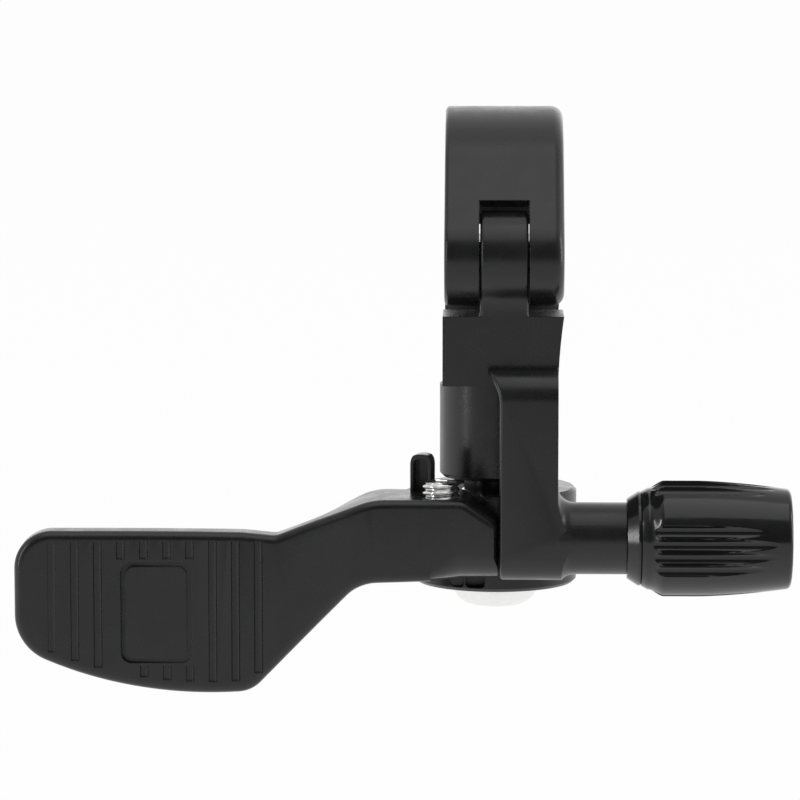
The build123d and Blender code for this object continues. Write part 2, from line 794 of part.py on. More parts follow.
def make_lug():
    # Hooded lug that the cut end of the cable is tucked into.
    foot_z = lever_top_z - lug_root_depth
    height = lug_top_z - foot_z
    outer = Pos(0, (foot_z + lug_top_z) / 2) * Rectangle(lug_width, height)
    outer = fillet(outer.vertices().group_by(Axis.Y)[-1], (lug_width - lug_flat) / 2)
    inner_width = lug_width - 2 * lug_wall
    inner = Pos(0, (lever_top_z + lug_top_z - lug_wall) / 2)
    inner = inner * Rectangle(inner_width, lug_top_z - lug_wall - lever_top_z)
    inner = fillet(inner.vertices().group_by(Axis.Y)[-1], (inner_width - lug_flat) / 2)
    block = front_prism(outer, -lug_depth / 2, lug_depth / 2)
    recess = front_prism(inner, -lug_depth / 2 - 1, -lug_depth / 2 + lug_recess_depth)
    return Pos(lug_x, lug_y, 0) * Rot(0, 0, -lug_turn) * (block - recess)


def make_rib_grooves():
    # Parallel channels of round section across the paddle, which stop short of the plain land.
    grooves = []
    groove_radius = (rib_width**2 / 4 + rib_depth**2) / (2 * rib_depth)
    land_low_z = land_z - land_height / 2 - land_margin
    land_high_z = land_z + land_height / 2 + land_margin
    for index in range(rib_count):
        x = rib_first_x + rib_pitch * index
        bottom_z = max(paddle_bow_z(x), heel_line_z(x)) + rib_bottom_inset
        runs = [(bottom_z, rib_top_z)]
        if abs(x - land_x) < land_width / 2 + land_margin:
            runs = [(bottom_z, land_low_z), (land_high_z, rib_top_z)]
        centre_y = paddle_front_y(x) + rib_depth - groove_radius
        for low_z, high_z in runs:
            if high_z - low_z > rib_width:
                grooves.append(rod_along_z(groove_radius, x, centre_y, low_z, high_z))
    return grooves


def heel_line_z(x):
    # Slanting edge from the paddle's heel up to the bar.
    foot_z = lever_bottom_z - bar_foot_drop
    heel_z = paddle_bow_z(paddle_heel_x)
    return heel_z + (foot_z - heel_z) * (x - paddle_heel_x) / (bar_foot_x - paddle_heel_x)


def make_land_groove():
    outer = Pos(land_x, land_z) * RectangleRounded(land_width, land_height, land_corner_round)
    inner_width = land_width - 2 * land_groove
    inner_height = land_height - 2 * land_groove
    inner_round = land_corner_round - land_groove / 2
    inner = Pos(land_x, land_z) * RectangleRounded(inner_width, inner_height, inner_round)
    floor_y = paddle_front_y(land_x) + land_depth
    return front_prism(outer - inner, lever_front_y - 1, floor_y)


def make_lever():
    body = make_lever_blank()
    for groove in make_rib_grooves():
        body -= groove
    body -= make_land_groove()
    body += make_lug()
    for low_z, high_z in (
        (upper_bearing_bottom_z, hub_top_z + 1),
        (hub_bottom_z - 1, lower_bearing_top_z),
    ):
        body -= rod_along_z(bearing_radius, pivot_x, pivot_y, low_z, high_z)
    body -= rod_along_z(bearing_radius - bearing_rib_step, pivot_x, pivot_y, hub_bottom_z, hub_top_z)
    body -= rod_along_x(cable_hole_radius, cable_exit_x, far, cable_y, cable_z)
    screw_hole_bottom_z = cable_z - cable_hole_radius - set_screw_hole_spare
    body -= rod_along_z(set_screw_radius, set_screw_x, cable_y, screw_hole_bottom_z, far)
    return body


def make_set_screw():
    # Socket set screw, its thread drawn as plain rings.
    tip_z = cable_z + cable_pinch_gap
    core = set_screw_radius - set_screw_thread_depth
    points = [(0, tip_z), (core, tip_z)]
    z = tip_z + set_screw_tip_length
    while z + set_screw_pitch < set_screw_top_z:
        points.append((core, z))
        points.append((set_screw_radius, z + set_screw_pitch * 3 / 8))
        points.append((set_screw_radius, z + set_screw_pitch * 5 / 8))
        z += set_screw_pitch
    points.append((core, z))
    points.append((core, set_screw_top_z))
    points.append((0, set_screw_top_z))
    plane = Plane(origin=(set_screw_x, cable_y, 0), x_dir=(1, 0, 0), z_dir=(0, -1, 0))
    screw = revolve(plane * polygon(*points), Axis((set_screw_x, cable_y, 0), (0, 0, 1)))
    depth = set_screw_socket_depth
    return screw - hex_socket(set_screw_socket_width, depth, set_screw_top_z, set_screw_x, cable_y)


def knob_outline():
    # Half section of the barrel: bead, waist, grip, then a taper to the mouth.
    start = neck_end_x + knob_slip_gap
    bead_end = start + knob_bead_length
    waist_end = start + knob_waist_end
    flare_end = start + knob_flare_end
    grip_end = start + knob_grip_end
    mouth_start = knob_end_x - knob_mouth_round
    mouth_face = knob_mouth_radius - knob_mouth_round
    bead_face = knob_bead_radius - knob_bead_rise
    taper = knob_grip_radius - knob_mouth_radius
    edges = [
        Line((start, 0), (start, bead_face)),
        RadiusArc((start, bead_face), (bead_end, knob_bead_radius), knob_bead_length),
        Line((bead_end, knob_bead_radius), (waist_end, knob_waist_radius)),
        Spline(
            (waist_end, knob_waist_radius),
            ((waist_end + flare_end) / 2, (knob_waist_radius + knob_grip_radius) / 2),
            (flare_end, knob_grip_radius),
            tangents=((1, 0), (1, 0)),
        ),
        Line((flare_end, knob_grip_radius), (grip_end, knob_grip_radius)),
        Spline(
            (grip_end, knob_grip_radius),
            ((grip_end + mouth_start) / 2, knob_grip_radius - 0.33 * taper),
            (mouth_start, knob_mouth_radius),
            tangents=((1, 0), (1, -0.2)),
        ),
        RadiusArc((mouth_start, knob_mouth_radius), (knob_end_x, mouth_face), knob_mouth_round),
        Line((knob_end_x, mouth_face), (knob_end_x, 0)),
        Line((knob_end_x, 0), (start, 0)),
    ]
    return make_face(edges)


def make_flutes():
    # Groups of parallel grooves that run out where the barrel narrows.
    flutes = []
    length = knob_end_x - flute_start_x
    for group in range(flute_groups):
        for index in range(flutes_per_group):
            offset = (index - (flutes_per_group - 1) / 2) * flute_pitch_angle
            turn = group * 360 / flute_groups + flute_group_turn + offset
            rise = flute_run_out * abs(offset) / flute_pitch_angle
            centre = flute_floor_radius + rise + flute_radius
            groove = Pos(flute_start_x + length / 2, 0, 0) * Pos(0, -centre, 0) * Rot(0, 90, 0)
            groove = groove * Cylinder(flute_radius, length)
            flutes.append(Pos(0, cable_y, cable_z) * Rot(turn, 0, 0) * groove)
    return flutes


def key_outline(radius, width):
    return Circle(radius) & Rectangle(width, 4 * radius)


def make_adjuster_knob():
    body = turned_about_cable(knob_outline())
    for flute in make_flutes():
        body -= flute
    body -= rod_along_x(knob_bore_radius, spring_start_x, far, cable_y, cable_z)
    key = Plane(origin=(0, cable_y, cable_z), x_dir=(0, 1, 0), z_dir=(1, 0, 0))
    hole = key_outline(stud_radius + stud_key_gap, stud_flat_width + 2 * stud_key_gap)
    return body - extrude(key * hole, amount=far)


def make_adjuster_stud():
    key = Plane(origin=(stud_inner_x, cable_y, cable_z), x_dir=(0, 1, 0), z_dir=(1, 0, 0))
    shank = extrude(key * key_outline(stud_radius, stud_flat_width), amount=stud_shoulder_x - stud_inner_x)
    head = rod_along_x(stud_head_radius, stud_shoulder_x, stud_end_x, cable_y, cable_z)
    head = chamfer(head.edges().filter_by(GeomType.CIRCLE), stud_head_chamfer)
    body = shank + head
    body -= rod_along_x(housing_bore_radius, stud_end_x - housing_seat_depth, far, cable_y, cable_z)
    return body - rod_along_x(guide_hole_radius, -far, far, cable_y, cable_z)


def make_adjuster_spring():
    length = stud_shoulder_x - spring_start_x - 2 * spring_end_gap - 2 * spring_wire_radius
    start_x = spring_start_x + spring_end_gap + spring_wire_radius
    path = Helix(pitch=length / spring_turns, height=length, radius=spring_radius)
    wire = sweep(
        Plane(origin=path @ 0, z_dir=path % 0) * Circle(spring_wire_radius),
        path=path,
        is_frenet=True,
    )
    return Pos(start_x, cable_y, cable_z) * Rot(0, 90, 0) * wire


def make_pieces():
    upper = upper_bearing_top_z
    lower = lower_bearing_top_z
    bore = race_bore_radius
    spacer_radius = race_bore_radius + spacer_wall
    pieces = {
        "bracket": make_bracket(),
        "clamp_strap": make_clamp_strap(),
        "hinge_pin": make_hinge_pin(),
        "clamp_bolt": make_clamp_bolt(),
        "clamp_washer": make_clamp_washer(),
        "lever": make_lever(),
        "cable_set_screw": make_set_screw(),
        "pivot_bolt": make_pivot_bolt(),
        "pivot_spacer": sleeve_about_pivot(bore, spacer_radius, upper, boss_bottom_z),
        "race_spacer": sleeve_about_pivot(bore, spacer_radius, lower, upper_bearing_bottom_z),
        "pivot_washer": sleeve_about_pivot(bore, spacer_radius, hub_bottom_z, lower_bearing_bottom_z),
        "adjuster_knob": make_adjuster_knob(),
        "adjuster_stud": make_adjuster_stud(),
        "adjuster_spring": make_adjuster_spring(),
    }
    for side, top_z in (("upper", upper), ("lower", lower)):
        pieces[f"{side}_outer_race"] = make_outer_race(top_z)
        pieces[f"{side}_inner_race"] = make_inner_race(top_z)
        pieces[f"{side}_bearing_balls"] = make_balls(top_z)
        pieces[f"{side}_bearing_cage"] = make_cage(top_z)
        pieces[f"{side}_bearing_seals"] = make_seals(top_z)
    return pieces


os.makedirs("parts", exist_ok=True)
for name, piece in make_pieces().items():
    export_step(piece, f"parts/{name}.step")
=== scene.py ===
import json
import math

import bmesh
import bpy
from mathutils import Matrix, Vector


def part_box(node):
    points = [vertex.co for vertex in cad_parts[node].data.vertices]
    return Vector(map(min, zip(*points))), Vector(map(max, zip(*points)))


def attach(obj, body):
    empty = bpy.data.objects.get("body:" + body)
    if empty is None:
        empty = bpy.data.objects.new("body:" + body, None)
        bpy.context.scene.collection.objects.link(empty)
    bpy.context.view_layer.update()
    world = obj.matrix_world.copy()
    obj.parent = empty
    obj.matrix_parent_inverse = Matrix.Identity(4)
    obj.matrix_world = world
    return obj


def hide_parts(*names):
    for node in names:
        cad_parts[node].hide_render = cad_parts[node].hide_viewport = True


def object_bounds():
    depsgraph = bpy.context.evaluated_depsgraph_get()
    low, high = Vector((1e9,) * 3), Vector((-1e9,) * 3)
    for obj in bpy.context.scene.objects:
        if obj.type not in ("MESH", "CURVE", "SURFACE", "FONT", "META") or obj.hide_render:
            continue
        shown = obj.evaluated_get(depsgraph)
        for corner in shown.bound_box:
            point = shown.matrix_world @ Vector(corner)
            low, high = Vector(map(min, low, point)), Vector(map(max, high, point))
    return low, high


# Thumb lever for a dropper post: its finishes and fine pieces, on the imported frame.
# Metres, +X along the handlebar, +Y away from the rider, +Z up.
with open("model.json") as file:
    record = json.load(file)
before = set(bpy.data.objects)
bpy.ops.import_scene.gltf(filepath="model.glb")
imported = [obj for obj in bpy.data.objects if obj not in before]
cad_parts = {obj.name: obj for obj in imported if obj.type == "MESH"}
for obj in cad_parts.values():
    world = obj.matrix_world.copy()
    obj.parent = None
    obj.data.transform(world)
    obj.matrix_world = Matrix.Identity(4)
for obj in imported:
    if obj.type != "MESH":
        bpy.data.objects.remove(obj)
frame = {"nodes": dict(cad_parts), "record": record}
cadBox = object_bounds()
nodes = frame["nodes"]
mm = 0.001


# Shader wiring

class Wire:
    # one output of a node; wire + x, wire * x and x - wire become Math nodes
    def __init__(self, tree, socket=None):
        self.tree = tree
        self.socket = socket

    def node(self, kind, settings, values, output=0):
        made = self.tree.nodes.new(kind)
        for name, value in settings.items():
            if name == "stops":
                setStops(made.color_ramp, value)
            else:
                setattr(made, name, value)
        for name, value in values.items():
            if isinstance(value, Wire):
                self.tree.links.new(value.socket, made.inputs[name])
            else:
                made.inputs[name].default_value = value
        return Wire(self.tree, made.outputs[output] if made.outputs else None)

    def maths(self, operation, first, second):
        return self.node("ShaderNodeMath", {"operation": operation}, {0: first, 1: second})

    def __add__(self, other):
        return self.maths("ADD", self, other)

    def __rsub__(self, other):
        return self.maths("SUBTRACT", other, self)

    def __mul__(self, other):
        return self.maths("MULTIPLY", self, other)


def setStops(ramp, stops):
    # stops is a list of (place, grey level)
    while len(ramp.elements) < len(stops):
        ramp.elements.new(0.5)
    for element, (place, level) in zip(ramp.elements, stops):
        element.position = place
        element.color = (level, level, level, 1)


def newFinish(name):
    material = bpy.data.materials.new(name)
    material.use_nodes = True
    material.node_tree.nodes.clear()
    return material, Wire(material.node_tree)


def objectPlace(wire):
    return wire.node("ShaderNodeTexCoord", {}, {}, "Object")


clouds = {
    "detail": 3.0,
    "low": 0.35,  # most of a cloud lies between low and high
    "high": 0.65,
}


def cloud(wire, place, size, detail=clouds["detail"]):
    # soft lumps about this many metres across, from 0 to 1
    values = {"Vector": place, "Scale": 1 / size, "Detail": detail}
    return wire.node("ShaderNodeTexNoise", {}, values)


def smoothRange(wire, value, fromLow, fromHigh, toLow, toHigh):
    values = {
        "Value": value,
        "From Min": fromLow,
        "From Max": fromHigh,
        "To Min": toLow,
        "To Max": toHigh,
    }
    return wire.node("ShaderNodeMapRange", {"interpolation_type": "SMOOTHSTEP"}, values)


def spread(wire, value, low, high):
    # the middle of a cloud, stretched to run from low to high
    return smoothRange(wire, value, clouds["low"], clouds["high"], low, high)


def tint(wire, first, second, share):
    # inputs 6 and 7 are the mix's two colours, and output 2 is the mixed one
    values = {0: share, 6: (*first, 1), 7: (*second, 1)}
    return wire.node("ShaderNodeMix", {"data_type": "RGBA"}, values, 2)


def relief(wire, height, depth, below=None):
    # height runs from 0 to 1, depth is its rise in metres, below is a relief under this one
    values = {"Height": height, "Distance": depth}
    if below is not None:
        values["Normal"] = below
    return wire.node("ShaderNodeBump", {}, values)


edgeSamples = 6


def softEdge(wire, radius):
    # the shading normal, turned as if every sharp edge were broken by this radius
    return wire.node("ShaderNodeBevel", {"samples": edgeSamples}, {"Radius": radius})


def surface(wire, values):
    shader = wire.node("ShaderNodeBsdfPrincipled", {}, values)
    wire.node("ShaderNodeOutputMaterial", {}, {"Surface": shader})


# Finishes

anodised = {
    "dye": (0.0078, 0.008, 0.0088),
    "paleDye": (0.0108, 0.011, 0.0118),
    "patch": 2.4 * mm,  # size of the patches in dye and sheen
    "patchShare": 0.6,  # of the sheen; the rest is grain
    "grain": 0.13 * mm,
    "grainDepth": 0.005 * mm,
    "smoothest": 0.25,
    "roughest": 0.34,
    "brokenEdge": 0.12 * mm,
    "refraction": 1.5,
}


def blackAnodising():
    # bead-blasted aluminium, dyed black: fine grain, with faint patches in dye and sheen
    material, wire = newFinish("blackAnodising")
    place = objectPlace(wire)
    patches = cloud(wire, place, anodised["patch"])
    grain = cloud(wire, place, anodised["grain"])
    both = patches * anodised["patchShare"] + grain * (1 - anodised["patchShare"])
    edges = softEdge(wire, anodised["brokenEdge"])
    surface(wire, {
        "Base Color": tint(wire, anodised["dye"], anodised["paleDye"], patches),
        "Roughness": spread(wire, both, anodised["smoothest"], anodised["roughest"]),
        "Normal": relief(wire, grain, anodised["grainDepth"], edges),
        "IOR": anodised["refraction"],
    })
    return material


moulding = {
    "black": (0.0065, 0.0067, 0.0073),
    "grey": (0.0085, 0.0087, 0.0093),
    "peel": 0.9 * mm,  # size of the orange peel's lumps
    "peelDetail": 1.5,
    "peelDepth": 0.004 * mm,
    "handled": 3.0 * mm,  # size of the duller patches
    "smoothest": 0.1,
    "roughest": 0.2,
    "refraction": 1.52,
}


def glossMoulding():
    # hard moulded plastic: gloss with a faint orange peel and duller handled patches
    material, wire = newFinish("glossMoulding")
    place = objectPlace(wire)
    peel = cloud(wire, place, moulding["peel"], moulding["peelDetail"])
    handled = cloud(wire, place, moulding["handled"])
    surface(wire, {
        "Base Color": tint(wire, moulding["black"], moulding["grey"], handled),
        "Roughness": spread(wire, handled, moulding["smoothest"], moulding["roughest"]),
        "Normal": relief(wire, peel, moulding["peelDepth"]),
        "IOR": moulding["refraction"],
    })
    return material


turning = {
    "tarnish": 0.8 * mm,
    "wobble": 1.5,
    "detail": 2.0,
    "depth": 0.0015 * mm,
}

metals = {
    "bright_steel": {
        "name": "brightZinc",
        "dark": (0.8, 0.8, 0.79),
        "pale": (0.93, 0.93, 0.92),
        "smoothest": 0.14,
        "roughest": 0.24,
        "pitch": 0.15 * mm,
        "axis": "Z",
    },
    "dark_steel": {
        "name": "blackOxide",
        "dark": (0.045, 0.045, 0.048),
        "pale": (0.09, 0.09, 0.095),
        "smoothest": 0.3,
        "roughest": 0.42,
        "pitch": 0.15 * mm,
        "axis": "Z",
    },
    "bearing_steel": {
        "name": "groundSteel",
        "dark": (0.5, 0.5, 0.5),
        "pale": (0.62, 0.62, 0.62),
        "smoothest": 0.12,
        "roughest": 0.22,
        "pitch": 0.1 * mm,
        "axis": "Z",
    },
    "stud_alloy": {
        "name": "bareAlloy",
        "dark": (0.06, 0.06, 0.065),
        "pale": (0.1, 0.1, 0.105),
        "smoothest": 0.3,
        "roughest": 0.42,
        "pitch": 0.12 * mm,
        "axis": "X",
    },
}


def turnedMetal(name, dark, pale, smoothest, roughest, pitch, axis):
    # bare metal with fine turning rings about an axis, and cloudy tarnish
    material, wire = newFinish(name)
    place = objectPlace(wire)
    tarnish = cloud(wire, place, turning["tarnish"])
    bands = {"wave_type": "BANDS", "bands_direction": axis, "wave_profile": "SIN"}
    values = {
        "Vector": place,
        "Scale": 1 / pitch,
        "Distortion": turning["wobble"],
        "Detail": turning["detail"],
    }
    rings = wire.node("ShaderNodeTexWave", bands, values, "Fac")
    surface(wire, {
        "Base Color": tint(wire, dark, pale, tarnish),
        "Metallic": 1.0,
        "Roughness": spread(wire, tarnish, smoothest, roughest),
        "Normal": relief(wire, rings, turning["depth"]),
    })
    return material


dullStock = {
    "cage_plastic": {
        "name": "cageNylon",
        "dark": (0.5, 0.46, 0.36),
        "pale": (0.62, 0.57, 0.46),
        "smoothest": 0.4,
        "roughest": 0.5,
        "grainSize": 0.3 * mm,
        "grainDepth": 0.004 * mm,
    },
    "seal_rubber": {
        "name": "sealRubber",
        "dark": (0.012, 0.012, 0.012),
        "pale": (0.02, 0.02, 0.02),
        "smoothest": 0.55,
        "roughest": 0.65,
        "grainSize": 0.15 * mm,
        "grainDepth": 0.006 * mm,
    },
}


def plainStock(name, dark, pale, smoothest, roughest, grainSize, grainDepth):
    # rubber, nylon or other dull stock with a fine grain
    material, wire = newFinish(name)
    place = objectPlace(wire)
    grain = cloud(wire, place, grainSize)
    surface(wire, {
        "Base Color": tint(wire, dark, pale, grain),
        "Roughness": spread(wire, grain, smoothest, roughest),
        "Normal": relief(wire, grain, grainDepth),
    })
    return material


finishes = {"black_anodised": blackAnodising(), "knob_plastic": glossMoulding()}
for slot, spec in metals.items():
    finishes[slot] = turnedMetal(**spec)
for slot, spec in dullStock.items():
    finishes[slot] = plainStock(**spec)
print("finishes:", len(finishes))


# Every frame node's finish; some nodes are replaced by finer pieces further down

def finishNodes():
    for part in frame["record"]["subparts"]:
        node = nodes[part["node"]]
        node.data.materials.clear()
        node.data.materials.append(finishes[part["material_slot"]])


finishNodes()
print("nodes finished:", len(nodes))


# Mesh building: rings of points round an axis, each ring a function of the angle

building = {
    "weld": 0.0005 * mm,
    "sliver": 0.0002 * mm,
    "smoothBelow": math.radians(30),
    "threadRows": 10,  # rows of points in one pitch
}


def alongX(place):
    # turns height, radius and angle about a line along X into a point
    x, y, z = place
    return lambda height, radius, angle: (
        x + height, y + radius * math.cos(angle), z + radius * math.sin(angle)
    )


def alongZ(place):
    x, y, z = place
    return lambda height, radius, angle: (
        x + radius * math.cos(angle), y + radius * math.sin(angle), z + height
    )


def shortTurn(angle):
    # the same angle, between half a turn back and half a turn on
    return (angle + math.pi) % (2 * math.pi) - math.pi


def plain(radius):
    return lambda angle: radius


def hexagon(width):
    # distance from the axis to a six-sided wall, width across the flats
    sector = math.pi / 3
    return lambda angle: width / 2 / math.cos(angle % sector - sector / 2)


def keyed(radius, width):
    # round hole or rod with two flats across it; along a flat the cosine is kept off 0
    least = 0.001
    return lambda angle: min(radius, width / 2 / max(abs(math.cos(angle)), least))


def addRings(points, faces, rings, columns, spot):
    # rings is a list of (height, radius function); neighbours are joined by quads
    start = len(points)
    for height, reach in rings:
        for column in range(columns):
            angle = 2 * math.pi * column / columns
            points.append(spot(height, reach(angle), angle))
    for row in range(len(rings) - 1):
        for column in range(columns):
            after = (column + 1) % columns
            a = start + row * columns
            faces.append((a + column, a + after, a + columns + after, a + columns + column))


def addThread(points, faces, thread, columns, spot):
    # a right-hand screw thread from low to high, run out on a cone at both ends
    low, high, pitch = thread["low"], thread["high"], thread["pitch"]
    limit = thread.get("limit", plain(thread["crest"]))
    early = 1.5  # turns that start below the low end, where they lie flat on it
    turns = math.ceil((high - low) / pitch) + 2
    start = len(points)
    turnRows = building["threadRows"]
    for turn in range(turns):
        for row in range(turnRows):
            share = row / turnRows
            # sharp at the root and round at the crest
            rise = math.sqrt(0.5 - 0.5 * math.cos(2 * math.pi * share))
            for column in range(columns):
                angle = 2 * math.pi * column / columns
                height = low + pitch * (turn - early + share + column / columns)
                height = min(max(height, low), high)
                radius = thread["root"] + (thread["crest"] - thread["root"]) * rise
                radius = min(radius, limit(angle))
                radius = min(radius, thread["lowEnd"] + thread["lead"] * (height - low))
                radius = min(radius, thread["highEnd"] + thread["lead"] * (high - height))
                points.append(spot(height, radius, angle))
    rows = turns * turnRows
    for row in range(rows - 1):
        for column in range(columns):
            after, afterRow = column + 1, row
            if after == columns:
                after, afterRow = 0, row + turnRows
            if afterRow + 1 < rows:
                corners = (
                    start + row * columns + column,
                    start + afterRow * columns + after,
                    start + (afterRow + 1) * columns + after,
                    start + (row + 1) * columns + column,
                )
                faces.append(corners)


def makePiece(name, points, faces, slot, body, *replaced):
    mesh = bpy.data.meshes.new(name)
    mesh.from_pydata(points, [], faces)
    work = bmesh.new()
    work.from_mesh(mesh)
    bmesh.ops.remove_doubles(work, verts=work.verts, dist=building["weld"])
    bmesh.ops.dissolve_degenerate(work, edges=work.edges, dist=building["sliver"])
    bmesh.ops.recalc_face_normals(work, faces=work.faces)
    for face in work.faces:
        face.smooth = True
    for edge in work.edges:
        edge.smooth = len(edge.link_faces) == 2 and edge.calc_face_angle() < building["smoothBelow"]
    work.to_mesh(mesh)
    work.free()
    mesh.materials.append(finishes[slot])
    piece = bpy.data.objects.new(name, mesh)
    bpy.context.scene.collection.objects.link(piece)
    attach(piece, body)
    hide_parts(*replaced)
    print("piece:", name, len(mesh.polygons), "faces")


def boxPlace(node, axis):
    # middle of a node's low end, and its length, along X (0) or Z (2)
    low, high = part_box(node)
    place = [(a + b) / 2 for a, b in zip(low, high)]
    place[axis] = low[axis]
    return place, high[axis] - low[axis]


def arcRings(start, end, radius, steps):
    # rings along an arc that bulges out from the axis, between two (height, radius) points
    middle = [(a + b) / 2 for a, b in zip(start, end)]
    along = [b - a for a, b in zip(start, end)]
    half = math.hypot(*along) / 2
    back = math.sqrt(max(radius**2 - half**2, 0.0)) / (2 * half)
    centre = (middle[0] + along[1] * back, middle[1] - along[0] * back)
    first = math.atan2(start[1] - centre[1], start[0] - centre[0])
    last = math.atan2(end[1] - centre[1], end[0] - centre[0])
    sweep = shortTurn(last - first)
    rings = []
    for step in range(steps + 1):
        angle = first + sweep * step / steps
        height, reach = centre[0] + radius * math.cos(angle), centre[1] + radius * math.sin(angle)
        rings.append((height, plain(reach)))
    return rings


# shares of a key socket's width
keySocket = {
    "mouthWidth": 1.1,
    "mouthDepth": 0.06,
    "floorPoint": 0.12,
}


def socketRings(width, depth, face):
    # a six-sided key socket sunk from the face at this height, from its mouth to its floor's middle
    sense = 1 if depth > 0 else -1
    return [
        (face, hexagon(width * keySocket["mouthWidth"])),
        (face - sense * keySocket["mouthDepth"] * width, hexagon(width)),
        (face - depth, hexagon(width)),
        (face - depth - sense * keySocket["floorPoint"] * width, plain(0.0)),
    ]


# Bracket, its neck swept into the arm in a hollow curve

neckSweep = {
    "radius": 3.86 * mm,
    "sweep": 1.8 * mm,  # radius of the hollow curve
    "axisY": -17.0 * mm,
    "armSide": 5.78 * mm,
    "armFront": -20.8 * mm,
    "armFoot": -34.9 * mm,
    "near": 0.03 * mm,  # how far off the collar a point may lie and still belong to it
    "flatNear": 0.01 * mm,
    "cuts": 3,  # of each edge of the collar
}


def reshaped(name, node, body, slot, change):
    # a copy of a node's mesh, with change(bmesh) applied, which stands for the node
    work = bmesh.new()
    work.from_mesh(nodes[node].data)
    bmesh.ops.remove_doubles(work, verts=work.verts, dist=building["weld"])
    change(work)
    points = [tuple(vertex.co) for vertex in work.verts]
    faces = [tuple(vertex.index for vertex in face.verts) for face in work.faces]
    work.free()
    makePiece(name, points, faces, slot, body, node)


def outFromNeck(point, axisZ):
    return math.hypot(point.y - neckSweep["axisY"], point.z - axisZ) - neckSweep["radius"]


def onNeckSweep(point, axisZ):
    # true on the round collar at the foot of the neck
    out = outFromNeck(point, axisZ)
    along = point.x - neckSweep["armSide"]
    sweep, near = neckSweep["sweep"], neckSweep["near"]
    if not -near < out < sweep + near or along < -near:
        return False
    return abs(math.hypot(out, along) - sweep) < near


def hollowNeck(work):
    low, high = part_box("adjuster_knob")
    axisZ = (low.z + high.z) / 2
    sweep, near = neckSweep["sweep"], neckSweep["flatNear"]
    for axis, level in ((1, neckSweep["armFront"]), (2, neckSweep["armFoot"])):
        # the arm's flat faces become one face each, so that they can follow their new edge
        flat = [f for f in work.faces if all(abs(v.co[axis] - level) < near for v in f.verts)]
        bmesh.ops.dissolve_faces(work, faces=flat)
    collar = [edge for edge in work.edges if all(onNeckSweep(v.co, axisZ) for v in edge.verts)]
    bmesh.ops.subdivide_edges(work, edges=collar, cuts=neckSweep["cuts"], use_grid_fill=True)
    for vertex in [v for v in work.verts if onNeckSweep(v.co, axisZ)]:
        inward = min(max(sweep - outFromNeck(vertex.co, axisZ), 0.0), sweep)
        vertex.co.x = neckSweep["armSide"] + sweep - math.sqrt(sweep**2 - inward**2)
    work.verts.index_update()


reshaped("bracketBody", "bracket", "bracket", "black_anodised", hollowNeck)


# Lever, its lug for the cable's end brought to a thin hood

lug = {
    "middle": (-8.75 * mm, -13.3 * mm),
    "foot": -26.05 * mm,
    "footNear": 0.01 * mm,
    "turn": math.radians(13),
    "reach": 1.55 * mm,  # half the side of the square it stands in
    "opening": 0.83 * mm,
    "wallShare": 0.52,  # shares that are left of its walls, depth and crown
    "depthShare": 0.6,
    "shoulder": 3.05 * mm,
    "crownShare": 0.854,
}


def thinLug(work):
    middleX, middleY = lug["middle"]
    cosine, sine = math.cos(lug["turn"]), math.sin(lug["turn"])
    for vertex in work.verts:
        x, y = vertex.co.x - middleX, vertex.co.y - middleY
        across, deep = x * cosine - y * sine, x * sine + y * cosine
        up = vertex.co.z - lug["foot"]
        if max(abs(across), abs(deep)) < lug["reach"] and up > -lug["footNear"]:
            wall = max(abs(across) - lug["opening"], 0.0)
            across -= math.copysign(wall * (1 - lug["wallShare"]), across)
            deep *= lug["depthShare"]
            crown = max(up - lug["shoulder"], 0.0)
            vertex.co.z -= crown * (1 - lug["crownShare"])
            vertex.co.x = middleX + across * cosine + deep * sine
            vertex.co.y = middleY - across * sine + deep * cosine
    work.verts.index_update()


reshaped("leverBody", "lever", "lever", "black_anodised", thinLug)


# Silver set screw over the cable

setScrew = {
    "columns": 72,
    "diameter": 4.0 * mm,
    "pitch": 0.7 * mm,
    "depth": 0.36 * mm,
    "socket": 2.0 * mm,
    "socketDepth": 1.7 * mm,
    "tipFace": 1.3 * mm,
    "topFace": 1.62 * mm,
    "lead": 1.9,  # radius gained per length on the cones at both ends
}


def cableSetScrew():
    place, length = boxPlace("cable_set_screw", 2)
    spec = setScrew
    columns = spec["columns"]
    spot = alongZ(place)
    points, faces = [], []
    crest = spec["diameter"] / 2
    addThread(points, faces, {
        "low": 0.0, "high": length, "pitch": spec["pitch"],
        "root": crest - spec["depth"], "crest": crest,
        "lowEnd": spec["tipFace"], "highEnd": spec["topFace"], "lead": spec["lead"],
    }, columns, spot)
    addRings(points, faces, [(0.0, plain(0.0)), (0.0, plain(spec["tipFace"]))], columns, spot)
    socket = socketRings(spec["socket"], spec["socketDepth"], length)
    addRings(points, faces, [(length, plain(spec["topFace"]))] + socket, columns, spot)
    makePiece("cableSetScrew", points, faces, "bright_steel", "lever", "cable_set_screw")


cableSetScrew()


# Button head bolt, up through the hub into the boss

pivotBolt = {
    "columns": 96,
    "headRadius": 4.75 * mm,
    "headHeight": 2.55 * mm,
    "flatRadius": 2.95 * mm,
    "domeSteps": 20,
    "rim": 0.5 * mm,
    "edge": 0.12 * mm,
    "shankRadius": 2.5 * mm,
    "threadStart": 15.0 * mm,
    "pitch": 0.8 * mm,
    "depth": 0.46 * mm,
    "tipFace": 1.9 * mm,
    "lead": 1.2,
    "socket": 3.0 * mm,
    "socketDepth": 1.6 * mm,
}


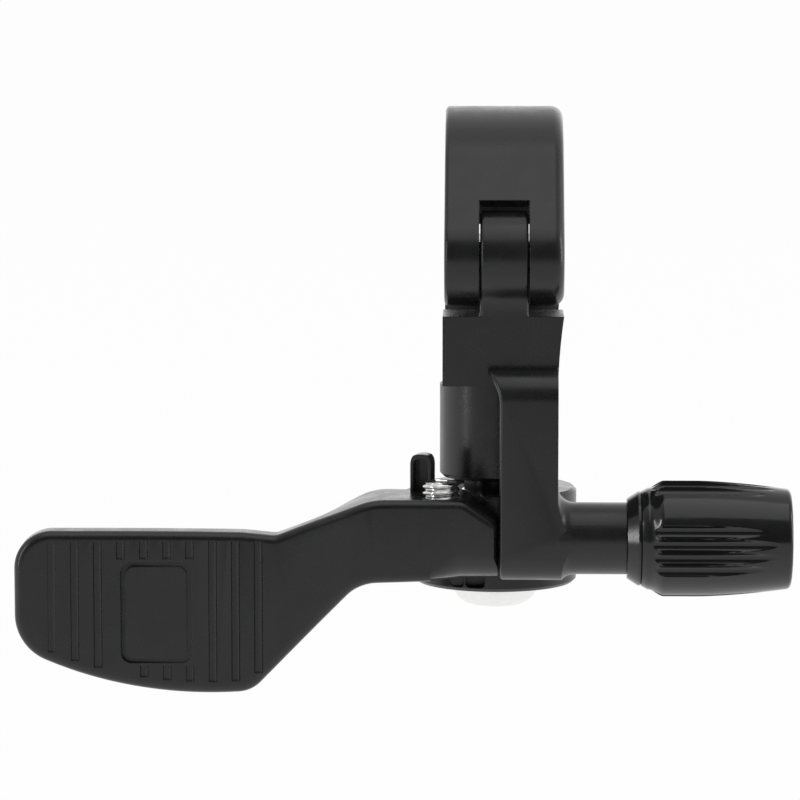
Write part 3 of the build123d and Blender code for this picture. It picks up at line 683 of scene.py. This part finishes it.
def hubBolt():
    place, length = boxPlace("pivot_bolt", 2)
    spec = pivotBolt
    columns = spec["columns"]
    spot = alongZ(place)
    points, faces = [], []
    neck, shank = spec["headHeight"], spec["shankRadius"]
    rimBottom = neck - spec["rim"]
    rings = list(reversed(socketRings(spec["socket"], -spec["socketDepth"], 0.0)))
    domeFoot = (rimBottom, spec["headRadius"])
    rings += arcRings((0.0, spec["flatRadius"]), domeFoot, spec["headHeight"], spec["domeSteps"])
    rings += [
        (neck - spec["edge"], plain(spec["headRadius"])),
        (neck, plain(spec["headRadius"] - spec["edge"])),
        (neck, plain(shank)),
        (spec["threadStart"], plain(shank)),
    ]
    addRings(points, faces, rings, columns, spot)
    addThread(points, faces, {
        "low": spec["threadStart"], "high": length, "pitch": spec["pitch"],
        "root": shank - spec["depth"], "crest": shank,
        "lowEnd": shank, "highEnd": spec["tipFace"], "lead": spec["lead"],
    }, columns, spot)
    addRings(points, faces, [(length, plain(spec["tipFace"])), (length, plain(0.0))], columns, spot)
    makePiece("pivotBolt", points, faces, "bright_steel", "bracket", "pivot_bolt")


hubBolt()


# Closing bolt of the clamp, behind the bar

clampBolt = {
    "ridges": 40,
    "columnsPerRidge": 4,
    "ridgeDepth": 0.11 * mm,
    "headRadius": 3.5 * mm,
    "headHeight": 3.2 * mm,
    "crown": 0.4 * mm,
    "crownSteps": 6,
    "foot": 0.15 * mm,
    "shankRadius": 1.97 * mm,
    "neckLength": 0.6 * mm,
    "pitch": 0.7 * mm,
    "depth": 0.4 * mm,
    "tipFace": 1.4 * mm,
    "lead": 1.2,
    "socket": 3.0 * mm,
    "socketDepth": 1.9 * mm,
}


def ridged(radius):
    # a round head with fine upright ridges
    def reach(angle):
        wave = 0.5 - 0.5 * math.cos(clampBolt["ridges"] * angle)
        return radius - clampBolt["ridgeDepth"] * wave
    return reach


def earBolt():
    place, length = boxPlace("clamp_bolt", 2)
    spec = clampBolt
    columns = spec["ridges"] * spec["columnsPerRidge"]
    spot = alongZ(place)
    points, faces = [], []
    seat, shank, head = length - spec["headHeight"], spec["shankRadius"], spec["headRadius"]
    threadEnd = seat - spec["neckLength"]
    addRings(points, faces, [(0.0, plain(0.0)), (0.0, plain(spec["tipFace"]))], columns, spot)
    addThread(points, faces, {
        "low": 0.0, "high": threadEnd, "pitch": spec["pitch"],
        "root": shank - spec["depth"], "crest": shank,
        "lowEnd": spec["tipFace"], "highEnd": shank, "lead": spec["lead"],
    }, columns, spot)
    rings = [
        (threadEnd, plain(shank)),
        (seat, plain(shank)),
        (seat, plain(head - spec["foot"] - spec["ridgeDepth"])),
        (seat + spec["foot"], ridged(head)),
        (length - spec["crown"] - spec["foot"], ridged(head)),
    ]
    crown = spec["crown"]
    crownFoot = (length - crown, head - spec["ridgeDepth"])
    rings += arcRings(crownFoot, (length, head - crown), crown, spec["crownSteps"])
    rings += socketRings(spec["socket"], spec["socketDepth"], length)
    addRings(points, faces, rings, columns, spot)
    makePiece("clampBolt", points, faces, "dark_steel", "clamp_bolt", "clamp_bolt")


earBolt()


# Fluted thumb barrel of the cable adjuster

barrel = {
    "columns": 720,
    "beadFace": 4.3 * mm,  # radius against the neck
    "beadRadius": 5.05 * mm,
    "beadCone": 1.15 * mm,  # length of its cone
    "beadLength": 1.4 * mm,
    "seamDepth": 0.12 * mm,
    "seamWidth": 0.14 * mm,
    "lipRise": 0.05 * mm,  # step up past the seam
    "waistRadius": 5.45 * mm,
    "waistEnd": 2.2 * mm,
    "gripRadius": 6.2 * mm,
    "flareEnd": 4.0 * mm,
    "flareSteps": 24,
    "gripEnd": 7.4 * mm,
    "gripSteps": 6,
    "mouthRadius": 5.4 * mm,
    "mouthRound": 0.55 * mm,
    "mouthSteps": 6,
    "mouthBevel": 0.15 * mm,
    "taperCurve": 1.6,  # power by which the taper falls away
    "taperSteps": 30,
    "boreRadius": 4.15 * mm,
    "keyWall": 2.95 * mm,  # the end wall that is keyed on the stud
    "holeRadius": 2.55 * mm,
    "holeWidth": 4.4 * mm,
}

flutes = {
    "groups": 4,
    "inGroup": 4,
    "spacing": math.radians(13.5),
    "turn": math.radians(5.5),
    "radius": 0.74 * mm,
    "floor": 5.5 * mm,
    "runOut": 0.12 * mm,  # how much shallower each flute is than the one nearer the group's middle
    "ridgeRound": 0.05 * mm,
    "widest": 0.3,  # radians from a flute's middle that are looked at
}


def softMin(first, second, blend):
    # the lesser of two lengths, rounded off where they cross
    share = min(max(0.5 + 0.5 * (second - first) / blend, 0.0), 1.0)
    return second + (first - second) * share - blend * share * (1 - share)


def fluteList():
    # each flute as (angle round the barrel, radius of its floor)
    for group in range(flutes["groups"]):
        middle = math.pi + 2 * math.pi * group / flutes["groups"] + flutes["turn"]
        for index in range(flutes["inGroup"]):
            steps = index - (flutes["inGroup"] - 1) / 2
            floor = flutes["floor"] + flutes["runOut"] * abs(steps)
            yield middle + steps * flutes["spacing"], floor


def fluted(height, radius):
    # the barrel's radius at this height, cut by the flutes where it stands above their floors
    if height < barrel["waistEnd"]:
        return plain(radius)
    cuts = list(fluteList())

    def reach(angle):
        depth = radius
        for middle, floor in cuts:
            turned = shortTurn(angle - middle)
            centre = floor + flutes["radius"]
            across = flutes["radius"]**2 - (centre * math.sin(turned))**2
            if abs(turned) < flutes["widest"] and across > 0:
                wall = centre * math.cos(turned) - math.sqrt(across)
                depth = min(depth, softMin(radius, wall, flutes["ridgeRound"]))
        return depth
    return reach


def barrelProfile(length):
    # (height, radius) from the bead to the start of the rounded mouth
    spec = barrel
    grip, waist = spec["gripRadius"], spec["waistRadius"]
    yield 0.0, spec["beadFace"]
    yield spec["beadCone"], spec["beadRadius"]
    yield spec["beadLength"], spec["beadRadius"]
    yield spec["beadLength"] + spec["seamWidth"] / 2, spec["beadRadius"] - spec["seamDepth"]
    yield spec["beadLength"] + spec["seamWidth"], spec["beadRadius"] + spec["lipRise"]
    yield spec["waistEnd"], waist
    for step in range(1, spec["flareSteps"] + 1):
        share = step / spec["flareSteps"]
        eased = share * share * (3 - 2 * share)
        height = spec["waistEnd"] + (spec["flareEnd"] - spec["waistEnd"]) * share
        yield height, waist + (grip - waist) * eased
    for step in range(1, spec["gripSteps"] + 1):
        height = spec["flareEnd"] + (spec["gripEnd"] - spec["flareEnd"]) * step / spec["gripSteps"]
        yield height, grip
    mouthStart = length - spec["mouthRound"]
    for step in range(1, spec["taperSteps"] + 1):
        share = step / spec["taperSteps"]
        drop = (grip - spec["mouthRadius"]) * share ** spec["taperCurve"]
        yield spec["gripEnd"] + (mouthStart - spec["gripEnd"]) * share, grip - drop


def thumbBarrel():
    place, length = boxPlace("adjuster_knob", 0)
    spec = barrel
    spot = alongX(place)
    points, faces = [], []
    hole = keyed(spec["holeRadius"], spec["holeWidth"])
    rings = [(0.0, hole)]
    rings += [(height, fluted(height, radius)) for height, radius in barrelProfile(length)]
    rounding = spec["mouthRound"]
    for step in range(1, spec["mouthSteps"] + 1):
        angle = math.pi / 2 * step / spec["mouthSteps"]
        height = length - rounding * (1 - math.sin(angle))
        radius = spec["mouthRadius"] - rounding * (1 - math.cos(angle))
        rings.append((height, fluted(height, radius)))
    rings += [
        (length, plain(spec["boreRadius"] + spec["mouthBevel"])),
        (length - spec["mouthBevel"], plain(spec["boreRadius"])),
        (spec["keyWall"], plain(spec["boreRadius"])),
        (spec["keyWall"], hole),
        (0.0, hole),
    ]
    addRings(points, faces, rings, spec["columns"], spot)
    makePiece("thumbBarrel", points, faces, "knob_plastic", "adjuster_knob", "adjuster_knob")


thumbBarrel()


# Hollow threaded stud inside the barrel, with the seat for the cable housing

stud = {
    "columns": 96,
    "crest": 2.5 * mm,
    "depth": 0.42 * mm,
    "pitch": 0.8 * mm,
    "flats": 4.3 * mm,
    "tipFace": 1.9 * mm,
    "lead": 1.2,
    "headLength": 7.8 * mm,
    "headRadius": 3.8 * mm,
    "edge": 0.3 * mm,
    "seatRadius": 2.55 * mm,
    "seatDepth": 6.5 * mm,
    "wireRadius": 1.1 * mm,
}


def barrelStud():
    place, length = boxPlace("adjuster_stud", 0)
    spec = stud
    spot = alongX(place)
    points, faces = [], []
    shoulder = length - spec["headLength"]
    addThread(points, faces, {
        "low": 0.0, "high": shoulder, "pitch": spec["pitch"],
        "root": spec["crest"] - spec["depth"], "crest": spec["crest"],
        "lowEnd": spec["tipFace"], "highEnd": spec["crest"], "lead": spec["lead"],
        "limit": keyed(spec["crest"], spec["flats"]),
    }, spec["columns"], spot)
    head, edge, seat = spec["headRadius"], spec["edge"], spec["seatRadius"]
    rings = [
        (shoulder, keyed(spec["crest"], spec["flats"])),
        (shoulder, plain(head - edge)),
        (shoulder + edge, plain(head)),
        (length - edge, plain(head)),
        (length, plain(head - edge)),
        (length, plain(seat + edge)),
        (length - edge, plain(seat)),
        (length - spec["seatDepth"], plain(seat)),
        (length - spec["seatDepth"], plain(spec["wireRadius"])),
        (0.0, plain(spec["wireRadius"])),
        (0.0, plain(spec["tipFace"])),
    ]
    addRings(points, faces, rings, spec["columns"], spot)
    makePiece("barrelStud", points, faces, "stud_alloy", "adjuster_stud", "adjuster_stud")


barrelStud()


# Light, floor and camera

studio = {
    "floorDrop": 30 * mm,
    "floorSize": 12.0,
    "floorColour": (0.9, 0.9, 0.9),
    "floorGlow": 0.96,
    "ambient": 0.6,  # the room's light on matt surfaces
    # (heading, grey level) from the rider's side at 0 to the far side at 1
    "roomStops": ((0.02, 0.03), (0.25, 0.12), (0.5, 0.31), (0.8, 0.38), (0.92, 0.48), (1.0, 0.85)),
    "roomLevel": 2.0,
    "floorBright": -0.02,  # Y beyond which the floor is fully lit
    "floorDark": -0.14,  # Y this side of which it is at its least
    "floorLeast": 0.06,
}

lamps = (
    # name, place in metres, width, height, watts
    ("skyBox", (0.05, -0.3, 0.9), 0.9, 0.8, 1.8),
    ("leftStrip", (-0.8, -0.4, 0.05), 0.04, 1.0, 2.6),
    ("rightStrip", (0.85, 0.15, 0.15), 0.2, 0.6, 1.5),
)

white = (1, 1, 1, 1)


def rayKinds(wire):
    # 1 or 0 for a ray from the camera, a mirrored one and one through glass
    kinds = ("Is Camera Ray", "Is Glossy Ray", "Is Transmission Ray")
    return [wire.node("ShaderNodeLightPath", {}, {}, kind) for kind in kinds]


def forwardPart(wire, vector):
    return wire.node("ShaderNodeSeparateXYZ", {}, {"Vector": vector}, "Y")


def lightWorld():
    world = bpy.data.worlds.new("whiteRoom")
    bpy.context.scene.world = world
    world.use_nodes = True
    world.node_tree.nodes.clear()
    wire = Wire(world.node_tree)
    camera, mirrored, through = rayKinds(wire)
    ahead = forwardPart(wire, wire.node("ShaderNodeTexCoord", {}, {}, "Generated"))
    # the room darkens towards the rider's side, so faces turned that way stay dark
    stops = {"stops": studio["roomStops"]}
    room = wire.node("ShaderNodeValToRGB", stops, {"Fac": ahead * 0.5 + 0.5})
    seen = camera + (mirrored + through) * room * studio["roomLevel"]
    other = (1 - camera) * (1 - mirrored) * (1 - through) * studio["ambient"]
    glow = wire.node("ShaderNodeBackground", {}, {"Color": white, "Strength": seen + other})
    wire.node("ShaderNodeOutputWorld", {}, {"Surface": glow})


def addFloor():
    half = studio["floorSize"] / 2
    level = cadBox[0][2] - studio["floorDrop"]
    corners = [(x * half, y * half, level) for x, y in ((-1, -1), (1, -1), (1, 1), (-1, 1))]
    mesh = bpy.data.meshes.new("floor")
    mesh.from_pydata(corners, [], [(0, 1, 2, 3)])
    floor = bpy.data.objects.new("floor", mesh)
    bpy.context.scene.collection.objects.link(floor)
    material, wire = newFinish("paleFloor")
    camera, mirrored, through = rayKinds(wire)
    matt = wire.node("ShaderNodeBsdfDiffuse", {}, {"Color": (*studio["floorColour"], 1)})
    glow = wire.node("ShaderNodeEmission", {}, {"Color": white, "Strength": 1.0})
    forward = forwardPart(wire, objectPlace(wire))
    # the floor dims towards the rider's side, as mirrored in the lever
    lit = smoothRange(
        wire, forward, studio["floorDark"], studio["floorBright"], studio["floorLeast"], 1.0
    )
    share = (camera + (mirrored + through) * lit) * studio["floorGlow"]
    mixed = wire.node("ShaderNodeMixShader", {}, {0: share, 1: matt, 2: glow})
    wire.node("ShaderNodeOutputMaterial", {}, {"Surface": mixed})
    mesh.materials.append(material)


def addLamps():
    for name, place, width, height, watts in lamps:
        data = bpy.data.lights.new(name, "AREA")
        data.shape = "RECTANGLE"
        data.size = width
        data.size_y = height
        data.energy = watts
        lamp = bpy.data.objects.new(name, data)
        bpy.context.scene.collection.objects.link(lamp)
        lamp.location = place
        lamp.visible_camera = False
        lamp.rotation_euler = (-Vector(place)).to_track_quat("-Z", "Y").to_euler()


cameraSpec = {
    "place": (-1.49 * mm, -448.8 * mm, 37.4 * mm),
    "heading": (-0.0221, 0.9925, -0.1219),
    "lens": 183.24,
    "sensor": 36.0,
    "nearest": 0.01,
    "farthest": 50.0,
}


def addCamera():
    data = bpy.data.cameras.new("camera")
    data.lens = cameraSpec["lens"]
    data.sensor_width = cameraSpec["sensor"]
    data.clip_start = cameraSpec["nearest"]
    data.clip_end = cameraSpec["farthest"]
    camera = bpy.data.objects.new("camera", data)
    bpy.context.scene.collection.objects.link(camera)
    camera.location = cameraSpec["place"]
    camera.rotation_euler = Vector(cameraSpec["heading"]).to_track_quat("-Z", "Y").to_euler()
    bpy.context.scene.camera = camera


lightWorld()
addFloor()
addLamps()
addCamera()
bpy.context.scene.view_settings.view_transform = "Standard"
print("studio: floor,", len(lamps), "lamps and camera")
